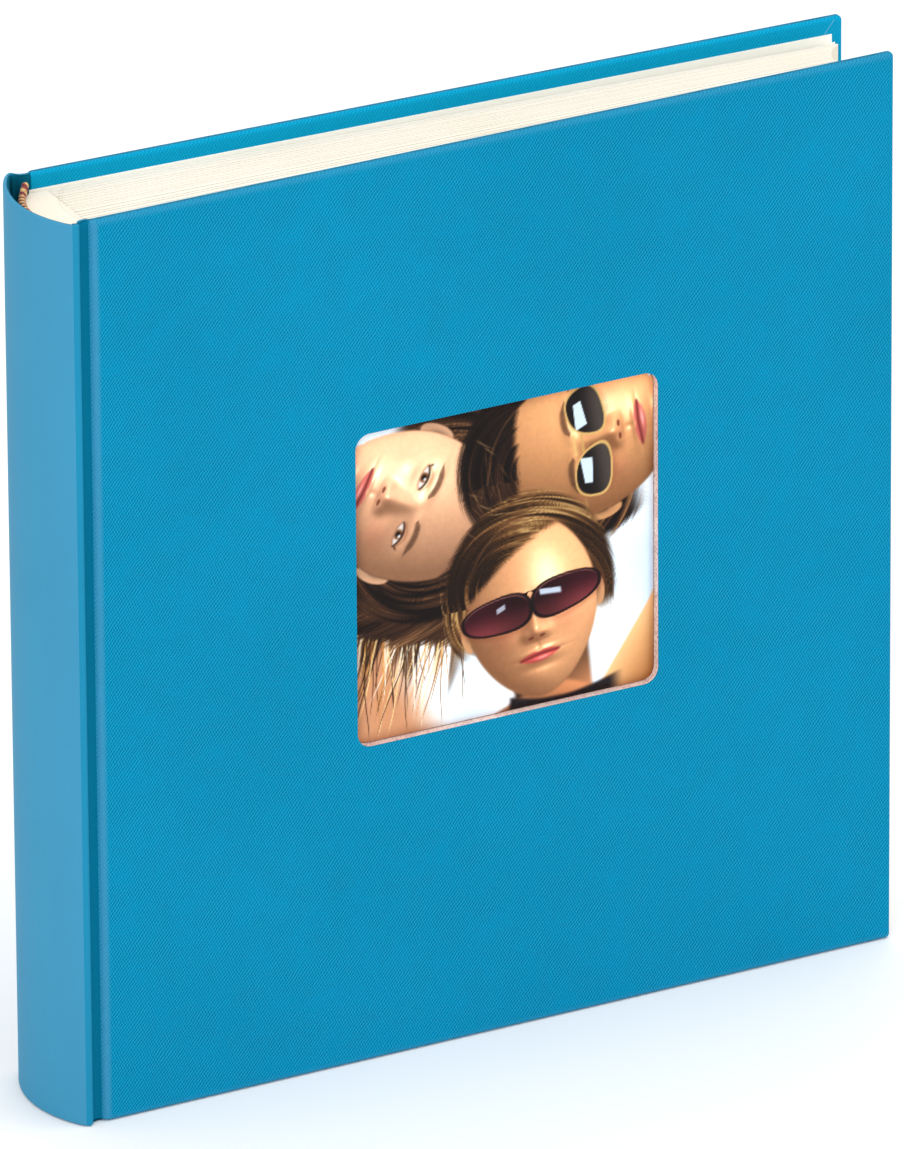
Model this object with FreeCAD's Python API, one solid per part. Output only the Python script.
"""Bookbound scrapbook album, nominal 30 x 30 cm: hard case with a die-cut picture window, French joints and a
rounded hollow spine, holding fifty card leaves with glassine interleaves on guard stubs.

Frame: the album stands on its tail edges. +Z is up the spine, +X runs from the spine to the fore-edge, and the front
cover faces -Y. The origin is the centre of the album's footprint, at the base. Millimetres.
"""
import FreeCAD, Part
import math
import os

V = FreeCAD.Vector

# ------------------------------------------------------------------ driving dimensions
COVER_H = 305.0          # height of the case, head to tail
COVER_W = 295.0          # overall width, spine to fore-edge
X_FORE = COVER_W / 2     # fore-edge of the boards
X_APEX = -COVER_W / 2    # outermost line of the rounded spine
X_BOARD = -134.5         # spine-side edge of the boards (the joint's far side)
X_CREST = -139.3         # ridge where the spine turns into the joint
Y_CREST = 23.8           # half the thickness at the ridges
Y_JOINT = 23.2           # half the thickness at the boards' spine-side edge
Y_FOREEDGE = 18.8        # half the thickness at the fore-edge
CLOTH_T = 0.35           # covering cloth
BOARD_T = 2.9            # grey board
LINING_T = 0.35          # card behind the window, level with the turned-in cloth
PASTE_T = 0.2            # endpaper
TURN_IN = 15.0           # cloth turned in round the boards
INSET_HEAD = 5.3         # cloth left showing round the pastedown, head and tail
INSET_FORE = 4.0         # the same along the fore-edge
CORNER_R = 1.6           # corners of the boards

WIN_U0 = 91.6            # window's left edge, from the board's spine-side edge
WIN_Z0 = 108.0           # window's lower edge, from the tail
WIN = 106.5              # window is square
WIN_R = 5.0              # its corner radius
PRINT_GAP = 0.3          # print's clearance in the window
PRINT_T = 0.3
TAB = 14.0               # adhesive tabs behind the print
TAB_T = 0.14

LEAVES = 50
LEAF_T = 0.32
GLASSINE_T = 0.05
SHEET_GAP = 0.02         # between a leaf and its interleaf
PACKET = 2 * (LEAF_T + GLASSINE_T) + 3 * SHEET_GAP   # two leaves and two interleaves
SQUARE = 6.0             # leaves stop this far below the head and above the tail of the case
X_CREASE = -128.0        # scored line where the leaves start to turn
LEAF_GAP = 0.4           # between the stubs and the turning leaves
STUB_HALF = 18.6         # half the thickness of the bound stubs
STUB_PITCH = 2 * STUB_HALF / LEAVES
STUB_T = STUB_PITCH - 0.05
FORE_Y0 = -14.35         # first leaf at the fore-edge
FORE_PITCH = 0.475       # leaves lie closer at the fore-edge than at the guards
SPINE_SAG = 7.7          # round of the bound spine
X_BLOCK = -134.3         # bound spine's edge at the shoulders
LEAF_FORE = 142.4        # fore-edge of the outermost leaves
FORE_HOLLOW = 1.0        # the fore-edge's hollow, as a share of the spine's round
STIFF_T = 1.2            # card in the case's spine

HINGE_X = -136.9         # case joints, where the covers turn
HINGE_Y = 23.6

os.makedirs("parts", exist_ok=True)
TILT = math.degrees(math.atan((Y_JOINT - Y_FOREEDGE) / (X_FORE - X_BOARD)))
Z_LO, Z_HI = SQUARE, COVER_H - SQUARE


def save(name, *shapes):
    solids = []
    for s in shapes:
        solids += s.Solids
    for s in solids:
        if not s.isValid() or s.Volume <= 0:
            raise SystemExit("bad solid in " + name)
    out = solids[0] if len(solids) == 1 else Part.makeCompound(solids)
    out.exportStep("parts/%s.step" % name)
    return out


def box(x0, x1, y0, y1, z0, z1):
    return Part.makeBox(x1 - x0, y1 - y0, z1 - z0, V(x0, y0, z0))


def slab(x0, x1, s0, s1, z0, z1):
    """A box in the front cover's own frame: s is the depth from its outer face."""
    return box(x0, x1, -Y_JOINT + s0, -Y_JOINT + s1, z0, z1)


def rounded(x0, x1, s0, s1, z0, z1, r, corners="both"):
    """A slab whose corners in elevation are rounded: both sides, or the fore-edge side only."""
    b = slab(x0, x1, s0, s1, z0, z1)
    edges = []
    for e in b.Edges:
        a, c = e.Vertexes[0].Point, e.Vertexes[1].Point
        if abs(a.y - c.y) > 1e-6:
            if corners == "both" or abs(a.x - x1) < 1e-6:
                edges.append(e)
    return b.makeFillet(r, edges)


def front(shape):
    """From the front cover's own frame into place: it leans in by TILT towards the fore-edge."""
    s = shape.copy()
    s.rotate(V(X_BOARD, -Y_JOINT, 0), V(0, 0, 1), TILT)
    return s


def back(shape):
    return front(shape).mirror(V(0, 0, 0), V(0, 1, 0))


def prism(points, z0, z1):
    w = Part.makePolygon([V(x, y, z0) for x, y in points] + [V(points[0][0], points[0][1], z0)])
    return Part.Face(w).extrude(V(0, 0, z1 - z0))


def arc_face(xc, r0, r1, y_half, z0, z1):
    """A curved wall round a vertical axis at (xc, 0), on its -X side, between two radii, out to +-y_half."""
    a0, a1 = math.asin(y_half / r0), math.asin(y_half / r1)

    def p(r, a):
        return V(xc - r * math.cos(a), r * math.sin(a), z0)

    e = [Part.Arc(p(r1, -a1), p(r1, 0), p(r1, a1)).toShape(),
         Part.LineSegment(p(r1, a1), p(r0, a0)).toShape(),
         Part.Arc(p(r0, a0), p(r0, 0), p(r0, -a0)).toShape(),
         Part.LineSegment(p(r0, -a0), p(r1, -a1)).toShape()]
    return Part.Face(Part.Wire(e)).extrude(V(0, 0, z1 - z0))


# ------------------------------------------------------------------ boards and their covering
S_BOARD0, S_BOARD1 = CLOTH_T, CLOTH_T + BOARD_T
S_IN = S_BOARD1 + LINING_T


def window(s0, s1, grow=0.0):
    x0 = X_BOARD + WIN_U0 - grow
    return rounded(x0, x0 + WIN + 2 * grow, s0, s1, WIN_Z0 - grow, WIN_Z0 + WIN + grow, WIN_R + grow)


def board():
    return rounded(X_BOARD + CLOTH_T, X_FORE - CLOTH_T, S_BOARD0, S_BOARD1, CLOTH_T, COVER_H - CLOTH_T,
                   CORNER_R - CLOTH_T, "fore")


def covering():
    body = rounded(X_BOARD, X_FORE, 0, S_IN, 0, COVER_H, CORNER_R, "fore")
    body = body.cut(board())
    return body.cut(slab(X_BOARD - 1, X_FORE - TURN_IN, S_BOARD1, S_IN + 1, TURN_IN, COVER_H - TURN_IN))


def pastedown():
    over = slab(X_BOARD + 1.0, X_FORE - INSET_FORE, S_IN, S_IN + PASTE_T, INSET_HEAD, COVER_H - INSET_HEAD)
    return over


save("front_board", front(board().cut(window(0, S_IN + 1))))
save("front_cover_cloth", front(covering().cut(window(-1, S_BOARD1 - 0.5))))
save("front_window_backing", front(slab(X_BOARD + 0.6, X_FORE - TURN_IN - 0.3, S_BOARD1, S_IN, TURN_IN + 0.3,
                                        COVER_H - TURN_IN - 0.3)))
save("front_pastedown", front(pastedown()))
save("back_board", back(board()))
save("back_cover_cloth", back(covering()))
filled = pastedown().fuse(slab(X_BOARD + 1.0, X_FORE - TURN_IN, S_BOARD1, S_IN, TURN_IN, COVER_H - TURN_IN))
save("back_pastedown", back(filled.removeSplitter()))

# picture window: the print lies in the die-cut recess on adhesive tabs
pr = rounded(X_BOARD + WIN_U0 + PRINT_GAP, X_BOARD + WIN_U0 + WIN - PRINT_GAP,
             S_BOARD1 - TAB_T - 0.02 - PRINT_T, S_BOARD1 - TAB_T - 0.02,
             WIN_Z0 + PRINT_GAP, WIN_Z0 + WIN - PRINT_GAP, WIN_R - PRINT_GAP)
save("window_print", front(pr))
tabs = []
for u in (8.0, WIN - 8.0 - TAB):
    for z in (8.0, WIN - 8.0 - TAB):
        x0 = X_BOARD + WIN_U0 + u
        tabs.append(front(slab(x0, x0 + TAB, S_BOARD1 - TAB_T, S_BOARD1, WIN_Z0 + z, WIN_Z0 + z + TAB)))
save("print_adhesive_tabs", *tabs)

# ------------------------------------------------------------------ the case's hollow spine
SAG = X_CREST - X_APEX
R_OUT = (Y_CREST ** 2 + SAG ** 2) / (2 * SAG)
XC = X_APEX + R_OUT
Y_STIFF = 21.5
save("spine_stiffener", arc_face(XC, R_OUT - CLOTH_T - STIFF_T, R_OUT - CLOTH_T, Y_STIFF, CLOTH_T, COVER_H - CLOTH_T))

# outer sheet of the spine with the groove of each joint
OUTER = [(-134.95, -20.05), (-136.3, -20.15), (-137.5, -20.75), (-138.35, -21.9), (-138.95, -23.25), (X_CREST, -Y_CREST)]
INNER = [(-134.95, -19.70), (-136.4, -19.80), (-137.76, -20.47), (-138.66, -21.74), (-139.22, -22.98)]


def mir(points):
    return [(x, -y) for x, y in reversed(points)]


def sheet_profile():
    ri = R_OUT - CLOTH_T
    xi = XC - math.sqrt(ri ** 2 - INNER[-1][1] ** 2)
    inner_end = (xi, INNER[-1][1])
    outer_end = OUTER[-1]
    edges = []

    def line(a, b):
        edges.append(Part.LineSegment(V(a[0], a[1], 0), V(b[0], b[1], 0)).toShape())

    pts = OUTER
    for a, b in zip(pts[:-1], pts[1:]):
        line(a, b)
    edges.append(Part.Arc(V(outer_end[0], outer_end[1], 0), V(X_APEX, 0, 0), V(outer_end[0], -outer_end[1], 0)).toShape())
    pts = mir(OUTER)
    for a, b in zip(pts[:-1], pts[1:]):
        line(a, b)
    top_in = [(x, -y) for x, y in INNER[:-1]] + [(inner_end[0], -inner_end[1])]
    line(pts[-1], top_in[0])
    for a, b in zip(top_in[:-1], top_in[1:]):
        line(a, b)
    edges.append(Part.Arc(V(inner_end[0], -inner_end[1], 0), V(X_APEX + CLOTH_T, 0, 0), V(inner_end[0], inner_end[1], 0)).toShape())
    low_in = [(inner_end[0], inner_end[1])] + [p for p in reversed(INNER[:-1])]
    for a, b in zip(low_in[:-1], low_in[1:]):
        line(a, b)
    line(low_in[-1], OUTER[0])
    return Part.Face(Part.Wire(edges))


sheet = sheet_profile().extrude(V(0, 0, COVER_H))
r2 = R_OUT - CLOTH_T - STIFF_T
for z0, z1 in ((0.0, TURN_IN), (COVER_H - TURN_IN, COVER_H)):
    turned = arc_face(XC, r2 - CLOTH_T, r2, Y_STIFF - 0.6, z0, z1)
    zc = 0.0 if z0 == 0 else COVER_H - CLOTH_T
    cap = arc_face(XC, r2 - CLOTH_T, R_OUT - CLOTH_T + 0.05, Y_STIFF - 0.6, zc, zc + CLOTH_T)
    sheet = sheet.fuse(turned).fuse(cap)
save("spine_cloth", sheet.removeSplitter())

# ------------------------------------------------------------------ bound stubs, spine linings, headbands
R_BLOCK = (STUB_HALF ** 2 + SPINE_SAG ** 2) / (2 * SPINE_SAG)
XB = X_BLOCK - SPINE_SAG + R_BLOCK
stubs = []
for i in range(LEAVES):
    y0 = -STUB_HALF + i * STUB_PITCH + 0.025
    y1 = y0 + STUB_T
    y = max(abs(y0), abs(y1))
    x0 = XB - math.sqrt(R_BLOCK ** 2 - y ** 2)
    stubs.append(box(x0, X_CREASE, y0, y1, Z_LO, Z_HI))
save("guard_stubs", *stubs)
G0, G1 = R_BLOCK + 0.02, R_BLOCK + 0.5
save("spine_adhesive", arc_face(XB, G0 + 0.08, G1, STUB_HALF - 0.3, Z_LO + 2, Z_HI - 2))
threads = []
for k in range(7):
    z = Z_LO + 22 + k * (Z_HI - Z_LO - 44) / 6
    threads.append(arc_face(XB, G1, G1 + 0.35, STUB_HALF - 1.2, z, z + 0.7))
save("sewing_threads", *threads)
save("mull_lining", arc_face(XB, G1 + 0.4, G1 + 0.65, STUB_HALF - 0.2, Z_LO + 18, Z_HI - 18))
save("spine_paper_lining", arc_face(XB, G1 + 0.65, G1 + 0.95, STUB_HALF - 0.6, Z_LO + 14, Z_HI - 14))


def headband(z_edge, up):
    """Woven band glued over the spine's end, with a beaded edge that stands over the leaves."""
    rb = R_BLOCK + 0.35
    bead_r = 1.25
    zc = z_edge + up * (bead_r + 0.05)
    yh = STUB_HALF - 1.6
    a = math.asin(yh / rb)

    def p(t):
        return V(XB - rb * math.cos(t), rb * math.sin(t), zc)

    path = Part.Wire([Part.Arc(p(-a), p(0), p(a)).toShape()])
    tangent = V(math.sin(-a), math.cos(-a), 0)
    c = Part.Wire([Part.Circle(p(-a), tangent, bead_r).toShape()])
    bead = path.makePipeShell([c], True, False)
    z0, z1 = sorted((z_edge - up * 11.0, z_edge + up * 1.4))
    skirt = arc_face(XB, G1 + 0.02, G1 + 0.36, yh, z0, z1)
    return bead.fuse(skirt)


for name, z_edge, up in (("head_headband", Z_HI, 1), ("tail_headband", Z_LO, -1)):
    save(name, headband(z_edge, up))

# ------------------------------------------------------------------ endpapers' free leaves
fly = slab(X_BLOCK + 0.3, LEAF_FORE, S_IN + PASTE_T + 0.2, S_IN + 2 * PASTE_T + 0.2, Z_LO, Z_HI)
save("front_flyleaf", front(fly))
FLY_BACK_F = FORE_Y0 + LEAVES * FORE_PITCH + 0.9
x0, x1 = X_BLOCK + 0.3, LEAF_FORE
save("back_flyleaf", prism([(x0, 18.85), (x1, FLY_BACK_F), (x1, FLY_BACK_F + PASTE_T), (x0, 18.85 + PASTE_T)], Z_LO, Z_HI))

# ------------------------------------------------------------------ the turning leaves, two card leaves and two interleaves to a node


def sheet_solid(yc, yf, t, xf, z0, z1):
    xc = X_CREASE + LEAF_GAP
    return prism([(xc, yc - t / 2), (xf, yf - t / 2), (xf, yf + t / 2), (xc, yc + t / 2)], z0, z1)


def fore_x(y_stub):
    """The fore-edge is slightly hollow, where the bound spine is round."""
    return LEAF_FORE - FORE_HOLLOW * (X_BLOCK - (XB - math.sqrt(R_BLOCK ** 2 - y_stub ** 2)))


for pair in range(LEAVES // 2):
    # the four sheets of a node lie close together, centred between their two stubs
    y_c = -STUB_HALF + (2 * pair + 1) * STUB_PITCH - PACKET / 2
    y_f = FORE_Y0 + (2 * pair + 1) * FORE_PITCH - PACKET / 2
    xf = fore_x(y_c + PACKET / 2)
    solids = []
    for j in (0, 1):
        a = j * (LEAF_T + GLASSINE_T + 2 * SHEET_GAP)
        solids.append(sheet_solid(y_c + a + LEAF_T / 2, y_f + a + LEAF_T / 2, LEAF_T, xf, Z_LO, Z_HI))
        g = a + LEAF_T + SHEET_GAP + GLASSINE_T / 2
        solids.append(sheet_solid(y_c + g, y_f + g, GLASSINE_T, xf - 2.0, Z_LO + 1.0, Z_HI - 1.0))
    save("leaf_pair_%02d" % (pair + 1), *solids)
